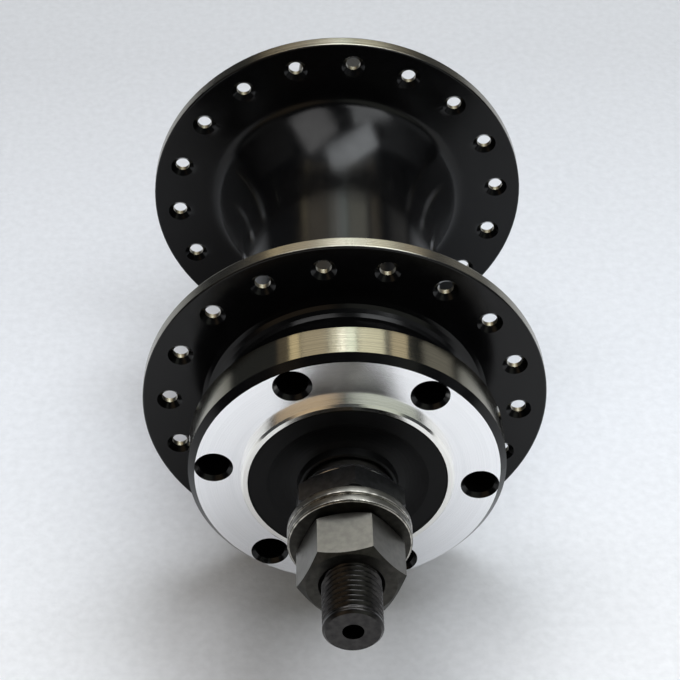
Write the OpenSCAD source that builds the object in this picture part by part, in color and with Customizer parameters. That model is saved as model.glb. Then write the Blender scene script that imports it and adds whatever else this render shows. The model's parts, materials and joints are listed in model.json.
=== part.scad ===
// Bicycle hub gear: three speeds inside, six-bolt brake rotor face on the left end.
// Lengths are in mm and angles in degrees. The axle lies along Y, with the brake end
// at -Y, the sprocket end at +Y and Z up. The origin is the middle of the axle.

/* [Axle] */
// Distance between the two outer lock faces
over_locks = 120; // [120:0.5:121]
// Length of the axle
axle_len = 156; // [154:0.5:158]
// Radius of the axle
axle_r = 4.75; // [4.74:0.01:4.76]

/* [Shell] */
// Radius of the left flange
left_flange_r = 34.4; // [34:0.1:35]
// Radius of the right flange
right_flange_r = 34.9; // [34.5:0.1:35.5]
// Thickness of each flange at its rim
flange_t = 2.6; // [2.4:0.1:2.8]
// Where the left flange's outer face is, along the axle
left_flange_y = -27.5; // [-27.6:0.1:-27.4]
// Where the right flange's inner face is, along the axle
right_flange_y = 30.2; // [30.1:0.1:30.3]
// Radius of the barrel between the flanges
barrel_r = 18; // [17.8:0.1:18.2]

/* [Spokes] */
// Spoke holes in each flange
spoke_holes = 18; // [16, 18, 20]
// Radius of the circle the left flange's spoke holes are on
left_spoke_circle_r = 29.8; // [29.6:0.05:29.9]
// Radius of the circle the right flange's spoke holes are on
right_spoke_circle_r = 30.35; // [30.3:0.05:30.6]
// Radius of a spoke hole
spoke_hole_r = 1.3; // [1.2:0.05:1.4]
// Radius of a spoke hole's mouth
spoke_mouth_r = 2.15; // [1.9:0.05:2.3]
// Turn of the left flange's holes
left_spoke_turn = 15.9; // [0:0.1:20]
// Turn of the right flange's holes
right_spoke_turn = 3.7; // [0:0.1:20]

/* [Rotor face] */
// Radius of the circle the rotor bolts are on
rotor_circle_r = 22; // [21.9:0.1:22.1]
// Radius of a rotor bolt hole
rotor_hole_r = 2.5; // [2.4:0.05:2.6]
// Depth of a rotor bolt hole
rotor_hole_depth = 6.6; // [6:0.1:6.8]
// Turn of the rotor bolt holes
rotor_turn = 52.7; // [0:0.1:60]
// Radius of the boss the rotor is centred on
pilot_r = 17.5; // [17.4:0.05:17.6]
// How far the boss stands out of the rotor face
pilot_h = 1.7; // [1.6:0.1:1.9]
// Distance from the rotor face to the left lock face
rotor_inset = 15.3; // [15.2:0.1:15.4]

/* [Gears] */
// Teeth on the sun gear
sun_teeth = 20; // [20]
// Teeth on each planet gear
planet_teeth = 12; // [12]
// Teeth inside the gear ring
ring_teeth = 44; // [44]
// Size of a tooth: pitch diameter over the number of teeth
tooth_size = 0.6; // [0.6]

/* [Nuts] */
// Distance across the flats of an axle nut
axle_nut_flats = 15; // [14.8:0.1:15.2]
// Height of an axle nut
axle_nut_h = 8.6; // [8:0.1:9]
// Distance across the flats of a locknut
lock_nut_flats = 17; // [16.8:0.1:17.2]

/* [Show] */
// Which piece to draw

/* [Hidden] */
$fn = 96;
seat_r = axle_r - 0.2;
left_nut_y = -over_locks / 2 - axle_nut_h;
right_nut_y = over_locks / 2 + 1.7 + axle_nut_h;
steel = [0.45, 0.45, 0.46];
dark_steel = [0.2, 0.2, 0.21];
black = [0.05, 0.05, 0.055];
bright = [0.78, 0.78, 0.8];
end_y = over_locks / 2;
face_y = -end_y + rotor_inset;
pressure = 25;
sun_pitch_r = tooth_size * sun_teeth / 2;
planet_pitch_r = tooth_size * planet_teeth / 2;
ring_pitch_r = tooth_size * ring_teeth / 2;
planet_orbit_r = sun_pitch_r + planet_pitch_r;
side_play = 0.05;
planet_pin_r = 1.3;
ball_r = 3.175;
ball_orbit_r = 10.2;
left_ball_y = -40;
right_ball_y = 46;
left_seat_end = left_ball_y + 3.1;
right_seat_end = right_ball_y - 3.1;
small_ball_r = 2.381;
middle_orbit_r = 16;
middle_ball_y = 37;
race_gap = 0.075;
flare_r = 36;
flare_foot_r = 2;
flare_rise = 6;
flare_turn = acos((flare_r - flare_rise) / (flare_r - flare_foot_r));
flare_y = right_flange_y - flare_foot_r - (flare_r - flare_foot_r) * sin(flare_turn);
high_pivot_r = 12.8;
high_arm = 5;
high_tip_r = 15.4;
low_pivot_r = 9.6;
low_arm = 4.6;
low_tip_r = 11.7;
pawl_teeth = 20;
pawl_pin_r = 0.5;

// Angle of the arm's lift from the tangent that puts a pawl's tip at radius tip
function lift(pivot, arm, tip) = asin((tip * tip - pivot * pivot - arm * arm) / (2 * pivot * arm));
// Direction of that tip, seen from the axle
function tip_turn(pivot, arm, a) = atan2(arm * cos(a), pivot + arm * sin(a));
// Points on an arc, for use in a turned outline
function arc(c, r, a0, a1, n) = [for (i = [0:n]) c + r * [cos(a0 + (a1 - a0) * i / n), sin(a0 + (a1 - a0) * i / n)]];
// Involute angle at a pressure angle
function involute(a) = tan(a) * 180 / PI - a;
// Half a tooth's angle at radius r, on a gear of n teeth thinned by trim on each side
function half_tooth(r, n, trim) = let (p = tooth_size * n / 2, b = p * cos(pressure))
  90 / n - trim / p * 180 / PI + involute(pressure) - (r > b ? involute(acos(b / r)) : 0);
function flank(n, root, tip, trim, i, side) = let (b = max(root, tooth_size * n / 2 * cos(pressure)))
  [for (k = [0:5]) let (q = side > 0 ? 5 - k : k, r = b + (tip - b) * q / 5,
    t = 360 * i / n + side * half_tooth(r, n, trim)) r * [cos(t), sin(t)]];
function root_point(n, root, trim, i, side) = let (t = 360 * i / n
  + side * half_tooth(root, n, trim)) root * [cos(t), sin(t)];
function gear_points(n, root, tip, trim) = [for (i = [0:n - 1])
  each concat([root_point(n, root, trim, i, -1)], flank(n, root, tip, trim, i, -1),
    flank(n, root, tip, trim, i, 1), [root_point(n, root, trim, i, 1)])];
function ratchet_points(n, tip, root, turn) = [for (i = [0:n - 1])
  each [tip * [cos(turn + 360 * i / n), sin(turn + 360 * i / n)],
    root * [cos(turn + 360 * (i + 1) / n), sin(turn + 360 * (i + 1) / n)]]];

// Lays a turned shape along Y, so heights become positions along the axle
module along() {
  rotate([-90, 0, 0]) children();
}

// Turns a shape about the axle, from +X toward +Z
module turned(a) {
  rotate([0, 0, -a]) children();
}

// A turned solid from radius and position pairs
module lathe(points) {
  rotate_extrude() polygon(points);
}

// A round bar with chamfered ends
module bar(r, y0, y1, c) {
  lathe([[0, y0], [r - c, y0], [r, y0 + c], [r, y1 - c], [r - c, y1], [0, y1]]);
}

// A washer or sleeve with chamfered outer edges
module sleeve(inner, outer, y0, y1, c) {
  lathe([[inner, y0], [outer - c, y0], [outer, y0 + c], [outer, y1 - c], [outer - c, y1], [inner, y1]]);
}

module hole(r, y0, y1) {
  translate([0, 0, y0]) cylinder(r = r, h = y1 - y0);
}

// A six-sided nut with both rims chamfered and both mouths countersunk
module hex_nut(flats, y0, y1, turn) {
  corner = flats / sqrt(3);
  wide = corner + 0.5;
  drop = 0.55 * (wide - flats / 2 + 0.35);
  difference() {
    intersection() {
      translate([0, 0, y0]) turned(turn) cylinder(r = corner, h = y1 - y0, $fn = 6);
      lathe([[0, y0], [flats / 2 - 0.35, y0], [wide, y0 + drop], [wide, y1 - drop],
        [flats / 2 - 0.35, y1], [0, y1]]);
    }
    hole(seat_r, y0 - 1, y1 + 1);
    translate([0, 0, y0 - 0.01]) cylinder(r1 = seat_r + 0.7, r2 = seat_r, h = 0.7);
    translate([0, 0, y1 - 0.69]) cylinder(r1 = seat_r, r2 = seat_r + 0.7, h = 0.7);
  }
}

// A ring of balls round the axle
module ball_ring(orbit, r, y, n) {
  for (i = [0:n - 1]) rotate([0, 0, 360 * i / n]) translate([orbit, 0, y]) sphere(r = r, $fn = 32);
}

// A crown ring that keeps the balls apart: open on the side that dir points to
module ball_cage(orbit, r, y, n, half_wall, dir) {
  back = y - dir * (r + 0.6);
  front = y + dir * r * 0.4;
  difference() {
    sleeve(orbit - half_wall, orbit + half_wall, min(back, front), max(back, front), 0.1);
    ball_ring(orbit, r + 0.12, y, n);
  }
}

// One spoke hole with a mouth on both faces of its flange
module spoke_hole(y) {
  mouth = spoke_mouth_r - spoke_hole_r;
  hole(spoke_hole_r, y - 1, y + flange_t + 1);
  translate([0, 0, y - 0.01]) cylinder(r1 = spoke_mouth_r, r2 = spoke_hole_r, h = mouth);
  translate([0, 0, y + flange_t - mouth + 0.01]) cylinder(r1 = spoke_hole_r, r2 = spoke_mouth_r, h = mouth);
}

module spoke_ring(circle_r, y, turn) {
  for (i = [0:spoke_holes - 1]) turned(turn + 360 * i / spoke_holes)
    translate([circle_r, 0, 0]) spoke_hole(y);
}

module shell() {
  color(black) along() difference() {
    lathe(concat(
      [[16.4, face_y - pilot_h], [pilot_r - 0.35, face_y - pilot_h], [pilot_r, face_y - pilot_h + 0.35],
        [pilot_r, face_y], [25.1, face_y], [26.2, face_y + 1.2], [26.2, face_y + 7.1],
        [25.6, face_y + 7.6], [22.4, face_y + 8.2]],
      arc([24.3, left_flange_y - 2.9], 2.9, 180, 90, 6),
      arc([left_flange_r - 0.35, left_flange_y + 0.35], 0.35, -90, 0, 4),
      arc([left_flange_r - 0.35, left_flange_y + flange_t - 0.35], 0.35, 0, 90, 4),
      arc([barrel_r + 5, left_flange_y + flange_t + 5], 5, 270, 180, 8),
      arc([barrel_r + flare_r, flare_y], flare_r, 180, 180 - flare_turn, 14),
      arc([barrel_r + flare_rise, right_flange_y - flare_foot_r], flare_foot_r, 180 - flare_turn, 90, 10),
      arc([right_flange_r - 0.35, right_flange_y + 0.35], 0.35, -90, 0, 4),
      arc([right_flange_r - 0.35, right_flange_y + flange_t - 0.35], 0.35, 0, 90, 4),
      arc([25.6, right_flange_y + flange_t + 1.6], 1.6, 270, 180, 4),
      [[24, 38.2], [23.4, 38.8], [20, 38.8], [20, 30], [15.5, 30], [15.5, -29], [14.2, -30],
        [14.2, -31.2], [15, -31.2], [15, face_y - 0.5], [16.4, face_y - 0.5]]));
    spoke_ring(left_spoke_circle_r, left_flange_y, left_spoke_turn);
    spoke_ring(right_spoke_circle_r, right_flange_y, right_spoke_turn);
    for (i = [0:5]) turned(rotor_turn + 60 * i) translate([rotor_circle_r, 0, 0]) {
      hole(rotor_hole_r, face_y - 0.01, face_y + rotor_hole_depth);
      translate([0, 0, face_y - 0.01]) cylinder(r1 = rotor_hole_r + 0.7, r2 = rotor_hole_r, h = 0.7);
    }
  }
}

module left_ball_cup() {
  color(steel) along() {
    lathe(concat([[15, -44.2], [15, -31.2], [13.6, -31.2], [13.6, -36], [12.06, -36]],
      arc([ball_orbit_r, left_ball_y], ball_r + race_gap, 55, 0, 6), [[13.45, -44.2]]));
    translate([0, 0, -36]) linear_extrude(4.8) difference() {
      circle(r = 13.9);
      mirror([0, 1]) polygon(ratchet_points(pawl_teeth, 12, 13.2,
        tip_turn(low_pivot_r, low_arm, lift(low_pivot_r, low_arm, 12.6)) + 0.8));
    }
  }
}

module right_ball_ring() {
  color(steel) along() {
    difference() {
      lathe(concat([[20, 30], [20, 38.8], [22.5, 38.8], [23, 39.2], [23, 40.6], [22.6, 41], [18.5, 41]],
        arc([middle_orbit_r, middle_ball_y], small_ball_r + race_gap, 0, -60, 6),
        [[17.2, 34.4], [16.3, 34.4], [16.3, 30]]));
      for (i = [0:3]) rotate([0, 0, 90 * i]) translate([22.1, -1.6, 38.9]) cube([2, 3.2, 3]);
    }
    translate([0, 0, 30]) linear_extrude(3.4) difference() {
      circle(r = 17);
      mirror([0, 1]) polygon(ratchet_points(pawl_teeth, 14.6, 15.9,
        tip_turn(high_pivot_r, high_arm, lift(high_pivot_r, high_arm, high_tip_r)) + 2.2));
    }
  }
}

module left_dust_cap() {
  color(black) along() lathe(concat([[16.4, face_y - 0.6], [16.4, face_y - 1.4], [16.1, face_y - 1.7],
    [15.5, face_y - 1.7]],
    arc([10.9, face_y - 6.8], 5.6, 65, 105, 6),
    [[8.3, face_y - 1.8], [8, face_y - 3], [7.7, face_y - 3.2], [7.3, face_y - 3], [7.3, face_y - 1.2],
    [8.2, face_y - 0.7], [13.6, face_y - 0.9], [14.6, face_y - 0.6]]));
}

module right_dust_cap() {
  color(dark_steel) along() sleeve(15.8, 18.5, 40.2, 40.95, 0.1);
}

module driver_dust_cap() {
  color(dark_steel) along() lathe([[13.45, 48.9], [13.45, 50.2], [12.8, 50.6], [8.8, 50.6],
    [8.8, 50], [12.4, 50], [12.8, 48.9]]);
}

module axle() {
  color(dark_steel) along() difference() {
    lathe([[0, -axle_len / 2], [axle_r - 0.45, -axle_len / 2], [axle_r, -axle_len / 2 + 0.45],
      [axle_r, left_nut_y], [seat_r, left_nut_y], [seat_r, left_seat_end], [axle_r, left_seat_end],
      [axle_r, right_seat_end], [seat_r, right_seat_end], [seat_r, right_nut_y], [axle_r, right_nut_y],
      [axle_r, axle_len / 2 - 0.45], [axle_r - 0.45, axle_len / 2], [0, axle_len / 2]]);
    hole(1.7, -axle_len / 2 - 1, -axle_len / 2 + 6);
    hole(1.75, -0.3, axle_len / 2 + 1);
    translate([-1.55, -6, -0.3]) cube([3.1, 12, 7.8]);
  }
}

module sun_gear() {
  color(steel) along() translate([0, 0, -15]) linear_extrude(14) difference() {
    polygon(gear_points(sun_teeth, sun_pitch_r - 0.72, sun_pitch_r + 0.5, side_play));
    circle(r = axle_r);
  }
}

// The left ball cone; the right one is its mirror image about the middle of their balls
function cone_points(y, s, tail) = let (points = concat([[seat_r, y + s * 2.8], [6.55, y + s * 2.8],
  [6.95, y + s * 2.4]], arc([ball_orbit_r, y], ball_r + race_gap, 180, 180 + s * 55, 6),
  [[8.3, y - s * 4.5], [6.9, y - s * 5], [6.9, tail], [seat_r, tail]])) points;

module left_cone() {
  color(steel) along() lathe(cone_points(left_ball_y, 1, -end_y + 9.9));
}

module right_cone() {
  color(steel) along() lathe(cone_points(right_ball_y, -1, end_y - 5.9));
}

module left_lock_washer() {
  color(bright) along() sleeve(seat_r, 8.3, -end_y + 8.9, -end_y + 9.9, 0.15);
}

module right_lock_washer() {
  color(bright) along() sleeve(seat_r, 8.3, end_y - 5.9, end_y - 4.9, 0.15);
}

module left_locknut() {
  color(dark_steel) along() hex_nut(lock_nut_flats, -end_y + 3.5, -end_y + 8.9, 24);
}

module right_locknut() {
  color(dark_steel) along() hex_nut(lock_nut_flats, end_y - 4.9, end_y, 10);
}

module left_axle_washers() {
  color(steel) along() {
    sleeve(seat_r, 10, -end_y + 1.8, -end_y + 3.5, 0.25);
    sleeve(seat_r, 10, -end_y, -end_y + 1.7, 0.25);
  }
}

module right_axle_washer() {
  color(steel) along() sleeve(seat_r, 9.5, end_y, end_y + 1.7, 0.25);
}

module left_axle_nut() {
  color(steel) along() hex_nut(axle_nut_flats, left_nut_y, -end_y, 6.7);
}

module right_axle_nut() {
  color(steel) along() hex_nut(axle_nut_flats, end_y + 1.7, right_nut_y, 20);
}

module left_balls() {
  color(bright) along() ball_ring(ball_orbit_r, ball_r, left_ball_y, 9);
}

module left_ball_cage() {
  color(steel) along() ball_cage(ball_orbit_r, ball_r, left_ball_y, 9, 0.5, 1);
}

module middle_balls() {
  color(bright) along() ball_ring(middle_orbit_r, small_ball_r, middle_ball_y, 18);
}

module middle_ball_cage() {
  color(steel) along() ball_cage(middle_orbit_r, small_ball_r, middle_ball_y, 18, 0.4, -1);
}

module right_balls() {
  color(bright) along() ball_ring(ball_orbit_r, ball_r, right_ball_y, 9);
}

module right_ball_cage() {
  color(steel) along() ball_cage(ball_orbit_r, ball_r, right_ball_y, 9, 0.5, -1);
}

// One pawl in its own plane: pivot at the origin, tip toward +X, inner side toward +Y
module pawl(arm, h) {
  linear_extrude(h) difference() {
    union() {
      circle(r = 1.1, $fn = 48);
      polygon([[-0.2, -0.95], [arm, 0], [arm - 0.9, 0.95], [-0.2, 0.95]]);
    }
    circle(r = pawl_pin_r + 0.05, $fn = 48);
  }
}

// Puts pawl-like things at their pivots, one at each side of the axle
module at_pawl(pivot, a, side) {
  rotate([0, 0, side * 180]) mirror([0, 1, 0]) translate([pivot, 0, 0]) rotate([0, 0, 90 - a]) children();
}

// The space a pawl swings in, cut into the wheel that carries it
module pawl_slot(pivot, arm, floor_r, h) {
  for (side = [0:1]) rotate([0, 0, side * 180]) mirror([0, 1, 0]) linear_extrude(h)
    polygon([[floor_r, -2], [pivot + 6, -2], [pivot + 6, arm + 1.5], [floor_r, arm + 1.5]]);
}

// A hairpin spring: a ring round the pin and a leg along the pawl
module pawl_spring(arm) {
  rotate_extrude() translate([0.78, 0]) circle(r = 0.18, $fn = 16);
  translate([0.6, 0.75, 0]) rotate([0, 90, 0]) cylinder(r = 0.18, h = arm - 1.6, $fn = 16);
}

module low_pawl(side) {
  color(dark_steel) along() translate([0, 0, -34.9])
    at_pawl(low_pivot_r, lift(low_pivot_r, low_arm, low_tip_r), side) pawl(low_arm, 2.5);
}

module high_pawl(side) {
  color(dark_steel) along() translate([0, 0, 30.5])
    at_pawl(high_pivot_r, lift(high_pivot_r, high_arm, high_tip_r), side) pawl(high_arm, 2.5);
}

module low_pawl_pins() {
  color(bright) along() for (side = [0:1]) rotate([0, 0, side * 180])
    translate([low_pivot_r, 0, -36]) cylinder(r = pawl_pin_r, h = 5);
}

module high_pawl_pins() {
  color(bright) along() for (side = [0:1]) rotate([0, 0, side * 180])
    translate([high_pivot_r, 0, 29.4]) cylinder(r = pawl_pin_r, h = 4.2);
}

module low_pawl_springs() {
  color(bright) along() translate([0, 0, -35.16]) for (side = [0:1])
    at_pawl(low_pivot_r, lift(low_pivot_r, low_arm, low_tip_r), side) pawl_spring(low_arm);
}

module high_pawl_springs() {
  color(bright) along() translate([0, 0, 30.24]) for (side = [0:1])
    at_pawl(high_pivot_r, lift(high_pivot_r, high_arm, high_tip_r), side) pawl_spring(high_arm);
}

module planet_cage() {
  color(steel) along() {
    difference() {
      lathe([[axle_r + 0.05, -36], [10.9, -36], [10.9, -31], [8.4, -30.2], [8.4, -18.8], [9.2, -18],
        [12.2, -18], [12.2, -15.1], [axle_r + 0.05, -15.1]]);
      translate([0, 0, -35.4]) pawl_slot(low_pivot_r, low_arm, 8.2, 3.2);
      for (side = [0:1]) rotate([0, 0, side * 180]) translate([low_pivot_r, 0, 0]) hole(pawl_pin_r, -37, -30);
      for (i = [0:3]) rotate([0, 0, 90 * i]) translate([planet_orbit_r, 0, 0]) hole(planet_pin_r, -17.4, -15);
    }
    difference() {
      sleeve(7.8, 12.2, -0.9, 0.7, 0.1);
      for (i = [0:3]) rotate([0, 0, 90 * i]) translate([planet_orbit_r, 0, 0]) hole(planet_pin_r, -1, 1);
    }
    for (i = [0:3]) rotate([0, 0, 45 + 90 * i]) translate([planet_orbit_r, 0, 0]) hole(2.1, -15.3, -0.7);
  }
}

module planet_pins() {
  color(bright) along() for (i = [0:3]) rotate([0, 0, 90 * i]) translate([planet_orbit_r, 0, 0])
    bar(planet_pin_r, -17.4, 3, 0.2);
}

module planet(i) {
  color(steel) along() rotate([0, 0, 90 * i]) translate([planet_orbit_r, 0, -14.2]) linear_extrude(12.2)
    difference() {
      rotate(180 / planet_teeth)
        polygon(gear_points(planet_teeth, planet_pitch_r - 0.72, planet_pitch_r + 0.5, side_play));
      circle(r = planet_pin_r + 0.05, $fn = 48);
    }
}

module gear_ring() {
  color(steel) along() {
    translate([0, 0, -15]) linear_extrude(13.9) difference() {
      circle(r = 15.1);
      rotate(180 / ring_teeth)
        polygon(gear_points(ring_teeth, ring_pitch_r - 0.5, ring_pitch_r + 0.72, -side_play));
    }
    difference() {
      lathe([[14.2, -1.2], [15, -1.2], [15, 29.4], [14, 29.6], [14, 33.6], [11.25, 33.6], [11.25, 29.4],
        [13.2, 28.2], [14.2, 27.2]]);
      translate([0, 0, 29.9]) pawl_slot(high_pivot_r, high_arm, 10, 3.2);
      for (side = [0:1]) rotate([0, 0, side * 180]) translate([high_pivot_r, 0, 0]) hole(pawl_pin_r, 29, 34);
    }
    for (i = [0:3]) rotate([0, 0, 90 * i]) intersection() {
      sleeve(11.4, 14.4, 4, 14, 0.1);
      translate([0, 0, 3]) linear_extrude(12) polygon([[0, 0], 20 * [cos(-35), sin(-35)],
        20 * [cos(35), sin(35)]]);
    }
  }
}

module driver() {
  color(steel) along() difference() {
    lathe(concat([[9.2, 4], [11.15, 4], [11.15, 34.4], [13.2, 34.6], [13.55, 34.9]],
      arc([middle_orbit_r, middle_ball_y], small_ball_r + race_gap, 180, 120, 6),
      [[15.4, 39.3], [15.4, 41.8], [18.6, 41.8], [19, 42.2], [19, 44], [17.4, 44], [17.4, 47.2],
        [16.6, 47.2], [16.6, 48.4], [17.4, 48.4], [17.4, 50], [17, 50.4], [13.45, 50.4]],
      arc([ball_orbit_r, right_ball_y], ball_r + race_gap, 0, -55, 6), [[12.06, 42.4], [9.2, 42.4]]));
    for (i = [0:3]) rotate([0, 0, 45 + 90 * i]) translate([8, -1.55, 3]) cube([5, 3.1, 12.5]);
    for (i = [0:2]) rotate([0, 0, 90 + 120 * i]) translate([16.2, -2, 44]) cube([3, 4, 7]);
  }
}

module clutch() {
  color(dark_steel) along() difference() {
    union() {
      bar(8.9, 5.9, 9.9, 0.15);
      for (i = [0:1]) rotate([0, 0, 45 + 90 * i]) translate([-13.2, -1.5, 6]) cube([26.4, 3, 3.8]);
    }
    hole(axle_r + 0.1, 5, 11);
  }
}

// A round wire wound round the axle
module clutch_spring() {
  turns = 9;
  steps = 20;
  last = turns * steps;
  points = [for (i = [0:last], k = [0:7]) let (a = 360 * i / steps, b = 45 * k,
    r = 6.5 + 0.45 * cos(b)) [r * cos(a), r * sin(a), 10.5 + 31.6 * i / last + 0.45 * sin(b)]];
  sides = [for (i = [0:last - 1], k = [0:7]) each [[i * 8 + k, i * 8 + (k + 1) % 8, i * 8 + 8 + k],
    [i * 8 + (k + 1) % 8, i * 8 + 8 + (k + 1) % 8, i * 8 + 8 + k]]];
  ends = [[for (k = [0:7]) 7 - k], [for (k = [0:7]) last * 8 + k]];
  color(bright) along() polyhedron(points, concat(sides, ends));
}

module thrust_ring() {
  color(steel) along() sleeve(axle_r + 0.1, 7.4, 4.85, 5.85, 0.1);
}

module axle_key() {
  color(steel) along() translate([-1.5, -6.9, 2.4]) cube([3, 13.8, 2.4]);
}

module selector_rod() {
  color(bright) along() bar(1.5, 4.8, 75, 0.3);
}

shell();
left_ball_cup();
right_ball_ring();
left_dust_cap();
right_dust_cap();
axle();
sun_gear();
left_cone();
right_cone();
left_lock_washer();
right_lock_washer();
left_locknut();
right_locknut();
left_axle_washers();
right_axle_washer();
left_axle_nut();
right_axle_nut();
left_balls();
left_ball_cage();
middle_balls();
middle_ball_cage();
right_balls();
right_ball_cage();
planet_cage();
planet_pins();
low_pawl_pins();
low_pawl_springs();
low_pawl(0);  // low_pawl_a
low_pawl(1);  // low_pawl_b
planet(0);  // planet_a
planet(1);  // planet_b
planet(2);  // planet_c
planet(3);  // planet_d
gear_ring();
high_pawl_pins();
high_pawl_springs();
high_pawl(0);  // high_pawl_a
high_pawl(1);  // high_pawl_b
driver();
driver_dust_cap();
clutch();
clutch_spring();
thrust_ring();
axle_key();
selector_rod();
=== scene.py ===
import json
import math

import bpy
from mathutils import Matrix, Vector


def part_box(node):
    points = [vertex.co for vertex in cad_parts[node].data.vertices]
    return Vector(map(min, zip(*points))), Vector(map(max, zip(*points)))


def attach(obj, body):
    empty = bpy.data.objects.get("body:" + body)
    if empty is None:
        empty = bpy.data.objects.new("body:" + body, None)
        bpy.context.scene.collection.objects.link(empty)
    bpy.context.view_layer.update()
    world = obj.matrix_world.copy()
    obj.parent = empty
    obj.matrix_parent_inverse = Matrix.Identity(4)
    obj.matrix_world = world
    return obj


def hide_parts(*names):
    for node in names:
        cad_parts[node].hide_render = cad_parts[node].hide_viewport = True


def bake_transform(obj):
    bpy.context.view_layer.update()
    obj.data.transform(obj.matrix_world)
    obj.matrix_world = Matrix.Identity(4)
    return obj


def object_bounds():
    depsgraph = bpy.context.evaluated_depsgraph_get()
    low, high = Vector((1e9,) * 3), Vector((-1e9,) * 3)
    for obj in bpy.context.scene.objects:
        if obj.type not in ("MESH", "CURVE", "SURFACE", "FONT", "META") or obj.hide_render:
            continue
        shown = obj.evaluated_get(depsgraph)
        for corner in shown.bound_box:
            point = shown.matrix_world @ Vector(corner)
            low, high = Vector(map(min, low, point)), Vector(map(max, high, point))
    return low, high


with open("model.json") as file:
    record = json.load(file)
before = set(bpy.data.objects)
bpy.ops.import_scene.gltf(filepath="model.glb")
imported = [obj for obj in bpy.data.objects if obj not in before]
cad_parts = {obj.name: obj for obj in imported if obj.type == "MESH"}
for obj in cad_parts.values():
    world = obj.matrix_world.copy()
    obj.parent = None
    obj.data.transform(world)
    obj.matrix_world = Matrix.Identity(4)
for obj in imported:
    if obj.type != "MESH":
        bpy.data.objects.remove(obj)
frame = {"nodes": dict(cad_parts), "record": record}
cad_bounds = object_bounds()

MM = 0.001
SHARP_ANGLE = math.radians(35)
nodes = frame["nodes"]
scene = bpy.context.scene


# ---- materials ----

def new_material(name):
    material = bpy.data.materials.new(name)
    material.use_nodes = True
    tree = material.node_tree
    return material, tree, tree.nodes["Principled BSDF"]


def add(tree, kind, **values):
    """A new shader node, with its properties set."""
    node = tree.nodes.new(kind)
    for key, value in values.items():
        setattr(node, key, value)
    return node


def object_place(tree):
    """Where a point lies in its object's own frame."""
    return add(tree, "ShaderNodeTexCoord").outputs["Object"]


def split_place(tree):
    """The X, Y and Z of that point, each as an output of its own."""
    split = add(tree, "ShaderNodeSeparateXYZ")
    tree.links.new(object_place(tree), split.inputs["Vector"])
    return split.outputs


def noise(tree, scale, detail=3.0, place=None):
    """Noise over the object, or over another place if one is given."""
    texture = add(tree, "ShaderNodeTexNoise")
    texture.inputs["Scale"].default_value = scale
    texture.inputs["Detail"].default_value = detail
    tree.links.new(object_place(tree) if place is None else place, texture.inputs["Vector"])
    return texture.outputs["Fac"]


def ramp(tree, value, stops):
    """The colour that belongs to a value. Each stop is a value and its colour."""
    node = add(tree, "ShaderNodeValToRGB")
    elements = node.color_ramp.elements
    while len(elements) < len(stops):
        elements.new(0.5)
    for element, (place, colour) in zip(elements, stops):
        element.position = place
        element.color = (*colour, 1)
    tree.links.new(value, node.inputs["Fac"])
    return node.outputs["Color"]


def grey(value):
    return (value, value, value)


def set_colour(tree, shader, pattern, dark, colour, edges=(0.35, 0.65)):
    """Blends two shades as the pattern goes from one edge to the other."""
    mix = ramp(tree, pattern, list(zip(edges, (dark, colour))))
    tree.links.new(mix, shader.inputs["Base Color"])


def set_gloss(tree, shader, scale, smoothest, roughest):
    """A roughness that wanders between two values."""
    gloss = ramp(tree, noise(tree, scale), [(0.3, grey(smoothest)), (0.7, grey(roughest))])
    tree.links.new(gloss, shader.inputs["Roughness"])


def bump(tree, shader, height, strength, distance):
    node = add(tree, "ShaderNodeBump")
    node.inputs["Strength"].default_value = strength
    node.inputs["Distance"].default_value = distance
    tree.links.new(height, node.inputs["Height"])
    tree.links.new(node.outputs["Normal"], shader.inputs["Normal"])
    return node


def metal(name, colour, dark, rough):
    """A plain metal: two shades in a fine grain, and a slightly uneven gloss."""
    material, tree, shader = new_material(name)
    shader.inputs["Metallic"].default_value = 1.0
    set_colour(tree, shader, noise(tree, 900), dark, colour)
    set_gloss(tree, shader, 360, rough - 0.025, rough + 0.025)
    bump(tree, shader, noise(tree, 1440), 0.08, 0.05 * MM)
    return material


def black_coat(name, colour, rough, shine, soften=0.0):
    """Semi-gloss black. Soften is how far the shading is blended across the edges of a curve's facets."""
    material, tree, shader = new_material(name)
    set_colour(tree, shader, noise(tree, 500), [c * 0.8 for c in colour], colour)
    set_gloss(tree, shader, 220, rough - 0.03, rough + 0.05)
    shader.inputs["Specular IOR Level"].default_value = shine
    relief = bump(tree, shader, noise(tree, 2500), 0.05, 0.04 * MM)
    if soften:
        blend = add(tree, "ShaderNodeBevel", samples=12)
        blend.inputs["Radius"].default_value = soften
        tree.links.new(blend.outputs["Normal"], relief.inputs["Normal"])
    return material


def turned_metal(name, colour, dark, rough, grooves):
    """Metal cut on a lathe: fine rings round the axle, drawn from the distance to the axle."""
    material, tree, shader = new_material(name)
    shader.inputs["Metallic"].default_value = 1.0
    place = split_place(tree)
    across = add(tree, "ShaderNodeCombineXYZ")
    tree.links.new(place["X"], across.inputs["X"])
    tree.links.new(place["Z"], across.inputs["Y"])
    length = add(tree, "ShaderNodeVectorMath", operation="LENGTH")
    tree.links.new(across.outputs["Vector"], length.inputs[0])
    rings_at = add(tree, "ShaderNodeCombineXYZ")
    tree.links.new(length.outputs["Value"], rings_at.inputs["X"])
    tree.links.new(place["Y"], rings_at.inputs["Y"])
    rings = noise(tree, grooves, 4.0, rings_at.outputs["Vector"])
    set_colour(tree, shader, rings, dark, colour, (0.3, 0.7))
    set_gloss(tree, shader, 90, rough - 0.04, rough + 0.05)
    bump(tree, shader, rings, 0.25, 0.03 * MM)
    return material


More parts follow.
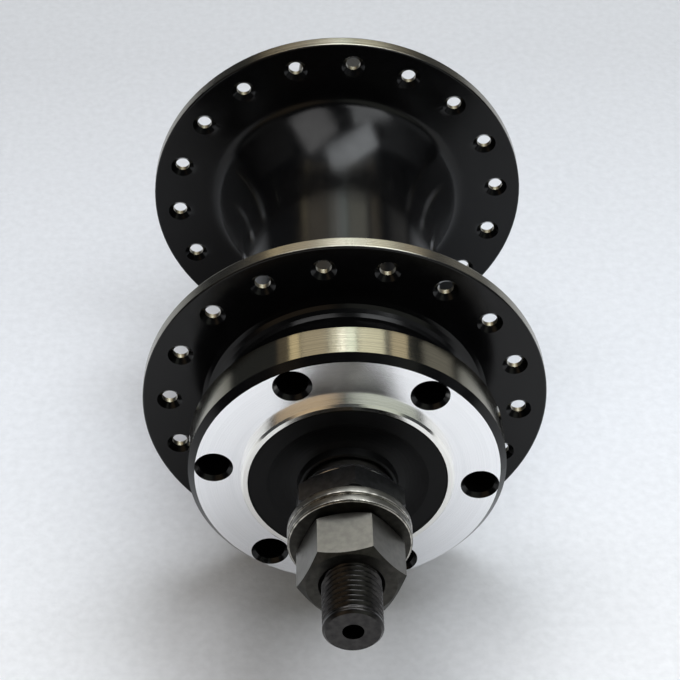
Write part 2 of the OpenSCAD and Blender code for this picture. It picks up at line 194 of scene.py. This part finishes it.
BLACK = black_coat("shell_black", (0.003, 0.003, 0.0033), 0.17, 0.24)
FLARE_BLACK = black_coat("flare_black", (0.003, 0.003, 0.0033), 0.17, 0.24, 2.0 * MM)
CAP_BLACK = black_coat("cap_black", (0.002, 0.002, 0.0022), 0.4, 0.12)
ROTOR_FACE = turned_metal("rotor_face", (0.97, 0.975, 0.99), (0.84, 0.85, 0.87), 0.2, 9000)
BAND = turned_metal("polished_band", (0.36, 0.34, 0.27), (0.22, 0.21, 0.17), 0.13, 5000)
PILOT = turned_metal("cut_pilot", (0.95, 0.945, 0.91), (0.8, 0.79, 0.75), 0.14, 5000)
RIM = turned_metal("worn_rim", (0.34, 0.32, 0.27), (0.2, 0.19, 0.16), 0.24, 5000)
BARE = metal("bare_metal", (0.3, 0.28, 0.22), (0.2, 0.18, 0.14), 0.3)
STEEL = metal("steel", (0.15, 0.145, 0.13), (0.12, 0.116, 0.105), 0.38)
# Darker steel for the nut and washer ends: painted shade
END_SHADE_STEEL = metal("end_shade_steel", (0.042, 0.04, 0.035), (0.026, 0.025, 0.022), 0.42)
# Brighter metal for rounded edges: partly wear, partly painted highlight
WORN_EDGE_AND_HIGHLIGHT = metal("worn_edge_and_highlight", (0.5, 0.48, 0.43), (0.16, 0.155, 0.14), 0.28)
DARK_STEEL = metal("dark_steel", (0.075, 0.075, 0.078), (0.05, 0.05, 0.052), 0.36)
THREAD = metal("thread_steel", (0.045, 0.043, 0.042), (0.026, 0.025, 0.025), 0.3)
BRIGHT = metal("bright_steel", (0.72, 0.72, 0.74), (0.6, 0.6, 0.62), 0.2)


# ---- finish of the CAD nodes ----

FINISH = {
    BLACK: ["shell"],
    CAP_BLACK: ["left_dust_cap"],
    DARK_STEEL: ["left_locknut", "right_locknut", "right_dust_cap", "driver_dust_cap", "low_pawl_a",
                 "low_pawl_b", "high_pawl_a", "high_pawl_b", "clutch"],
    THREAD: ["axle"],
    BRIGHT: ["left_balls", "middle_balls", "right_balls", "planet_pins", "low_pawl_pins", "high_pawl_pins",
             "low_pawl_springs", "high_pawl_springs", "clutch_spring", "selector_rod", "left_lock_washer",
             "right_lock_washer"],
}
for object_ in nodes.values():
    object_.data.materials.clear()
    object_.data.materials.append(STEEL)
for material, names in FINISH.items():
    for name in names:
        nodes[name].data.materials[0] = material

# The nuts' and washers' ends get a darker steel than their sides: painted shade on the faces that look along
# the axle.
# A face is an end where its normal's Y is above this
END_NORMAL = 0.4
for name in ("left_axle_nut", "right_axle_nut", "left_axle_washers", "right_axle_washer"):
    mesh = nodes[name].data
    mesh.materials.append(END_SHADE_STEEL)
    for face in mesh.polygons:
        face.material_index = 1 if abs(face.normal.y) > END_NORMAL else 0

# Where the shell's finishes begin and end, as radii from the axle's middle line and places along it
MOUNTS = {mount["name"]: mount for mount in frame["record"]["mounts"]}
FACE_Y = MOUNTS["rotor_face"]["pos_m"][1]
FACE_SLACK = 0.05 * MM
FACE_R = 25.2 * MM
PILOT_R = MOUNTS["rotor_pilot"]["dims"]["r_mm"] * MM
PILOT_WALL = 1.2 * MM
PILOT_SLACK = 0.02 * MM
BAND_R = 26.15 * MM
BAND_LOW, BAND_HIGH = FACE_Y + 1.1 * MM, FACE_Y + 7.2 * MM
RIM_R = 34.35 * MM
WEB_R = 27.0 * MM
SPOKES = [(MOUNTS[name]["pos_m"][1], MOUNTS[name]["dims"]["pcd_mm"] / 2 * MM)
          for name in ("left_spokes", "right_spokes")]
HOLE_REACH = 1.4 * MM
FLANGE_REACH = 1.6 * MM
# A face lies across the axle where its normal's Y is over the first, and is a round wall under the second
FLAT_NORMAL = 0.9
WALL_NORMAL = 0.2
SHELL_FINISHES = (BLACK, ROTOR_FACE, BAND, BARE, PILOT, RIM, FLARE_BLACK)


def shell_finish(face):
    """The finish of one face of the shell, from where it lies and which way it looks."""
    x, y, z = face.center
    radius = math.hypot(x, z)
    flat = abs(face.normal.y) > FLAT_NORMAL
    round_wall = abs(face.normal.y) < WALL_NORMAL
    if flat and abs(y - FACE_Y) < FACE_SLACK and PILOT_R < radius < FACE_R:
        return ROTOR_FACE
    if y < FACE_Y - PILOT_SLACK and (round_wall or radius > PILOT_R - PILOT_WALL):
        return PILOT
    if radius > BAND_R and BAND_LOW < y < BAND_HIGH:
        return BAND
    if round_wall and radius > RIM_R:
        return RIM
    if round_wall and any(abs(radius - r) < HOLE_REACH and abs(y - at) < FLANGE_REACH for at, r in SPOKES):
        return BARE
    if radius < WEB_R and SPOKES[0][0] < y < SPOKES[1][0]:
        return FLARE_BLACK
    return BLACK


def paint_shell():
    mesh = nodes["shell"].data
    for finish in SHELL_FINISHES[1:]:
        mesh.materials.append(finish)
    slots = {finish: slot for slot, finish in enumerate(SHELL_FINISHES)}
    for face in mesh.polygons:
        face.material_index = slots[shell_finish(face)]


paint_shell()


def round_edges(name, width):
    """Rounds a node's sharp edges and gives them a brighter metal, partly wear and partly a painted
    highlight, so that they show as bright lines.

    The weld joins the CAD mesh's split edges first, because a bevel needs faces that share their corners.
    """
    nodes[name].data.materials.append(WORN_EDGE_AND_HIGHLIGHT)
    weld = nodes[name].modifiers.new("weld", "WELD")
    weld.merge_threshold = 0.001 * MM
    bevel = nodes[name].modifiers.new("edges", "BEVEL")
    bevel.width = width
    bevel.material = len(nodes[name].data.materials) - 1
    bevel.segments = 2
    bevel.limit_method = "ANGLE"
    bevel.angle_limit = SHARP_ANGLE
    bevel.harden_normals = True


# The washers' rounded edges carry the brighter metal: partly wear, partly painted highlight
WASHER_EDGE = 0.12 * MM
for name in ("left_axle_washers", "right_axle_washer"):
    round_edges(name, WASHER_EDGE)


# ---- pieces made here ----

def new_object(name, verts, faces, material):
    mesh = bpy.data.meshes.new(name)
    mesh.from_pydata(verts, [], faces)
    mesh.validate()
    mesh.materials.append(material)
    made = bpy.data.objects.new(name, mesh)
    scene.collection.objects.link(made)
    return made


def ring_faces(steps, around, flip=False):
    """Four-sided faces between each ring of points and the next. Flip turns them to look the other way."""
    faces = []
    for i in range(steps):
        for k in range(around):
            a, b = i * around + k, i * around + (k + 1) % around
            faces.append((a, a + around, b + around, b) if flip else (a, b, b + around, a + around))
    return faces


def on_circle(r, y, angle):
    """A point at an angle round the axle."""
    return (r * math.cos(angle), y, -r * math.sin(angle))


AXLE_LOW, AXLE_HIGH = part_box("axle")[0].y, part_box("axle")[1].y
AXLE_R = MOUNTS["axle_left"]["dims"]["r_mm"] * MM
# The stretches under the nuts, washers and cones are thinner, and end a little past the cones
SEAT_R = AXLE_R - 0.2 * MM
SEAT_EXTRA = 0.3 * MM
SEATS = ((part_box("left_axle_nut")[0].y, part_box("left_cone")[1].y + SEAT_EXTRA),
         (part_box("right_cone")[0].y - SEAT_EXTRA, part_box("right_axle_nut")[1].y))
THREAD_PITCH = 1.0 * MM
THREAD_DEPTH = 0.5 * MM
# The share of each half pitch that is flat, at the crest and again at the root
THREAD_FLAT = 0.12
# The plain length at each end, before the thread starts
COLLAR = 0.7 * MM
END_BEVEL = 0.45 * MM
CENTRE_HOLE_R = 1.7 * MM
CENTRE_HOLE_DEPTH = 5 * MM
AXLE_AROUND = 72
ROWS_PER_TURN = 10


def axle_radius(y, turn):
    """The axle's radius at a place along it and a part of a turn round it.

    It has a helical thread on its ends and its seats, from a collar's length in, and is plain in the middle.
    """
    on_seat = any(low < y < high for low, high in SEATS)
    plain = SEATS[0][1] < y < SEATS[1][0]
    from_end = min(y - AXLE_LOW, AXLE_HIGH - y)
    fade = 0 if plain else min(1, max(0, (from_end - COLLAR) / THREAD_PITCH))
    wave = abs(((y / THREAD_PITCH - turn) % 1) * 2 - 1)
    cut = THREAD_DEPTH * fade * min(1, max(0, (wave - THREAD_FLAT) / (1 - 2 * THREAD_FLAT)))
    return min(SEAT_R if on_seat else AXLE_R, AXLE_R - cut, AXLE_R - END_BEVEL + max(0, from_end))


def threaded_axle():
    steps = int((AXLE_HIGH - AXLE_LOW) / THREAD_PITCH * ROWS_PER_TURN)
    turns = [k / AXLE_AROUND for k in range(AXLE_AROUND)]
    verts = []
    for i in range(steps + 1):
        y = AXLE_LOW + (AXLE_HIGH - AXLE_LOW) * i / steps
        verts += [on_circle(axle_radius(y, turn), y, 2 * math.pi * turn) for turn in turns]
    faces = ring_faces(steps, AXLE_AROUND)

    def close_end(row, y, inward):
        """Joins the outer ring to the mouth of the centre hole, and that to the hole's pointed bottom."""
        rings = [[row * AXLE_AROUND + k for k in range(AXLE_AROUND)]]
        hole = ((CENTRE_HOLE_R, y), (CENTRE_HOLE_R, y + inward), (0.05 * CENTRE_HOLE_R, y + inward * 1.2))
        for r, at in hole:
            rings.append([len(verts) + k for k in range(AXLE_AROUND)])
            verts.extend(on_circle(r, at, 2 * math.pi * turn) for turn in turns)
        for one, two in zip(rings, rings[1:]):
            for k in range(AXLE_AROUND):
                after = (k + 1) % AXLE_AROUND
                quad = (one[k], one[after], two[after], two[k])
                faces.append(quad if inward < 0 else quad[::-1])
        faces.append(rings[-1] if inward < 0 else rings[-1][::-1])

    close_end(0, AXLE_LOW, CENTRE_HOLE_DEPTH)
    close_end(steps, AXLE_HIGH, -CENTRE_HOLE_DEPTH)
    bar = new_object("threaded_axle", verts, faces, THREAD)
    for face in bar.data.polygons:
        face.use_smooth = True
    bar.data.set_sharp_from_angle(angle=SHARP_ANGLE)
    return bar


axle = threaded_axle()
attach(axle, "axle")
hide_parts("axle")

SPRING_LOW, SPRING_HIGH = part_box("clutch_spring")
WIRE_R = 0.45 * MM
SPRING_TURNS = 9
WIRE_AROUND = 12
RINGS_PER_TURN = 32


def clutch_coil():
    """A round-wire spring along Y that fills the box of its CAD node."""
    steps = SPRING_TURNS * RINGS_PER_TURN
    mean_r = (SPRING_HIGH.x - SPRING_LOW.x) / 2 - WIRE_R
    verts = []
    for i in range(steps + 1):
        turn = 2 * math.pi * i / RINGS_PER_TURN
        middle = SPRING_LOW.y + WIRE_R + (SPRING_HIGH.y - SPRING_LOW.y - 2 * WIRE_R) * i / steps
        for k in range(WIRE_AROUND):
            angle = 2 * math.pi * k / WIRE_AROUND
            r, y = mean_r + WIRE_R * math.cos(angle), middle + WIRE_R * math.sin(angle)
            verts.append(on_circle(r, y, turn))
    faces = ring_faces(steps, WIRE_AROUND, flip=True)
    faces.append(tuple(range(WIRE_AROUND)))
    faces.append(tuple(steps * WIRE_AROUND + k for k in reversed(range(WIRE_AROUND))))
    coil = new_object("clutch_coil", verts, faces, BRIGHT)
    for face in coil.data.polygons:
        face.use_smooth = len(face.vertices) == 4
    return coil


# In the hub the spring is squeezed as the clutch slides; here the coil is made once, filling the CAD spring's
# box
spring = clutch_coil()
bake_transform(spring)
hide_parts("clutch_spring")


# ---- floor, camera, light ----

FLOOR_REACH = 6.0
# The painted shade for the light's falloff deepens on the paper between these two places along Y
SHADE_FROM, SHADE_TO = -0.12, 0.3
# The paper's colour along that stretch: painted shade standing in for the light falling off toward the far
# side
PAINTED_FALLOFF_SHADES = ((0.0, (0.93, 0.93, 0.95)), (0.3, (0.8, 0.82, 0.87)), (0.6, (0.58, 0.59, 0.62)),
                (1.0, (0.5, 0.51, 0.53)))


def paper():
    """Pale paper with a fine grain, and painted shade that darkens it toward the far side, where the light
    falls off.
    """
    material, tree, shader = new_material("paper")
    far = add(tree, "ShaderNodeMapRange")
    far.inputs["From Min"].default_value = SHADE_FROM
    far.inputs["From Max"].default_value = SHADE_TO
    tree.links.new(split_place(tree)["Y"], far.inputs["Value"])
    grain = ramp(tree, noise(tree, 600), [(0.3, grey(0.93)), (0.7, grey(1.0))])
    mix = add(tree, "ShaderNodeMix", data_type="RGBA", blend_type="MULTIPLY")
    mix.inputs["Factor"].default_value = 1.0
    tree.links.new(ramp(tree, far.outputs["Result"], PAINTED_FALLOFF_SHADES), mix.inputs["A"])
    tree.links.new(grain, mix.inputs["B"])
    tree.links.new(mix.outputs["Result"], shader.inputs["Base Color"])
    shader.inputs["Roughness"].default_value = 0.95
    shader.inputs["Specular IOR Level"].default_value = 0.1
    bump(tree, shader, noise(tree, 900, 2), 0.3, 0.2 * MM)
    return material


def make_floor():
    corners = [(x * FLOOR_REACH, y * FLOOR_REACH, 0) for x, y in ((-1, -1), (1, -1), (1, 1), (-1, 1))]
    floor = new_object("floor", corners, [(0, 1, 2, 3)], paper())
    floor.location.z = cad_bounds[0][2]


make_floor()

# What the camera looks at, and from how far. At azimuth 0 it looks along the hub from its brake end
AIM = Vector((-0.46, -10.82, 0.0)) * MM
DISTANCE = 357.2 * MM
ELEVATION = math.radians(41.26)
AZIMUTH = math.radians(-0.67)
ROLL = math.radians(-1.01)
LENS = 107.1
SENSOR = 36.0
NEAREST = 0.01


def make_camera():
    level = math.cos(ELEVATION)
    out = Vector((math.sin(AZIMUTH) * level, -math.cos(AZIMUTH) * level, math.sin(ELEVATION)))
    right = (-out).cross(Vector((0, 0, 1))).normalized()
    up = out.cross(right)
    side = right * math.cos(ROLL) + up * math.sin(ROLL)
    top = up * math.cos(ROLL) - right * math.sin(ROLL)
    data = bpy.data.cameras.new("camera")
    data.lens = LENS
    data.sensor_width = SENSOR
    data.clip_start = NEAREST
    camera = bpy.data.objects.new("camera", data)
    turned = Matrix((side, top, out)).transposed().to_4x4()
    camera.matrix_world = Matrix.Translation(AIM + out * DISTANCE) @ turned
    scene.collection.objects.link(camera)
    scene.camera = camera


make_camera()

SKY_COLOUR = (0.86, 0.92, 1.0, 1)
SKY_STRENGTH = 0.05
# Each lamp: name, middle, size, brightness, colour. All of them face the origin
LAMPS = (
    ("ceiling", (0.1, 1.0, 1.6), (2.4, 2.0), 0.15, (0.94, 0.97, 1.0)),
    ("left_wall", (-1.1, 0.1, 0.6), (1.2, 0.9), 0.15, (1.0, 0.97, 0.93)),
    ("right_wall", (1.1, 0.0, 0.6), (1.2, 0.9), 0.4, (0.93, 0.97, 1.0)),
    ("sky", (0.24, 0.5, 0.92), (0.8, 0.36), 6.5, (0.93, 0.97, 1.0)),
    ("key_right", (1.0, -0.24, 2.0), (1.2, 1.2), 4.0, (0.95, 0.98, 1.0)),
    ("key_left", (-0.7, 0.4, 2.1), (1.2, 1.2), 3.0, (0.98, 0.97, 0.97)),
    ("low_right", (1.15, 1.2, 0.35), (0.5, 0.5), 0.3, (1.0, 0.97, 0.9)),
    ("room_left", (-0.5, -1.0, 0.5), (0.8, 0.9), 0.45, (1.0, 0.72, 0.42)),
    ("room_right", (0.5, -1.0, 0.5), (0.9, 0.9), 0.5, (0.95, 1.0, 0.85)),
)
# Each pane: middle x, width, brightness, colour. They stand behind the hub, as streaks on its round metal
WINDOW_PANES = (
    (-0.67, 0.14, 0.15, (1.0, 0.8, 0.55)),
    (-0.53, 0.12, 1.2, (1.0, 0.82, 0.5)),
    (-0.31, 0.28, 0.75, (1.0, 0.84, 0.6)),
    (-0.09, 0.12, 1.2, (1.0, 0.96, 0.8)),
    (-0.005, 0.03, 3.6, (1.0, 1.0, 0.95)),
    (0.08, 0.1, 2.2, (0.9, 1.0, 0.92)),
    (0.29, 0.28, 1.5, (1.0, 0.98, 0.8)),
    (0.6, 0.2, 0.9, (1.0, 0.85, 0.6)),
)
PANE_Y, PANE_Z = 0.9, 0.78
PANE_HEIGHT = 0.5


def glow(name, place, size, brightness, colour, aim=(0, 0, 0)):
    """An area light of a given brightness, whatever its size."""
    data = bpy.data.lights.new(name, "AREA")
    data.shape = "RECTANGLE"
    data.size, data.size_y = size
    data.energy = brightness * math.pi * size[0] * size[1]
    data.color = colour
    light = bpy.data.objects.new(name, data)
    light.location = place
    light.rotation_euler = (Vector(aim) - Vector(place)).to_track_quat("-Z", "Y").to_euler()
    scene.collection.objects.link(light)


def make_light():
    world = bpy.data.worlds.new("world")
    world.use_nodes = True
    background = world.node_tree.nodes["Background"]
    background.inputs["Color"].default_value = SKY_COLOUR
    background.inputs["Strength"].default_value = SKY_STRENGTH
    scene.world = world
    for lamp in LAMPS:
        glow(*lamp)
    for x, width, brightness, colour in WINDOW_PANES:
        glow("pane", (x, PANE_Y, PANE_Z), (width, PANE_HEIGHT), brightness, colour, (x, 0, 0))


make_light()
scene.view_settings.view_transform = "Standard"
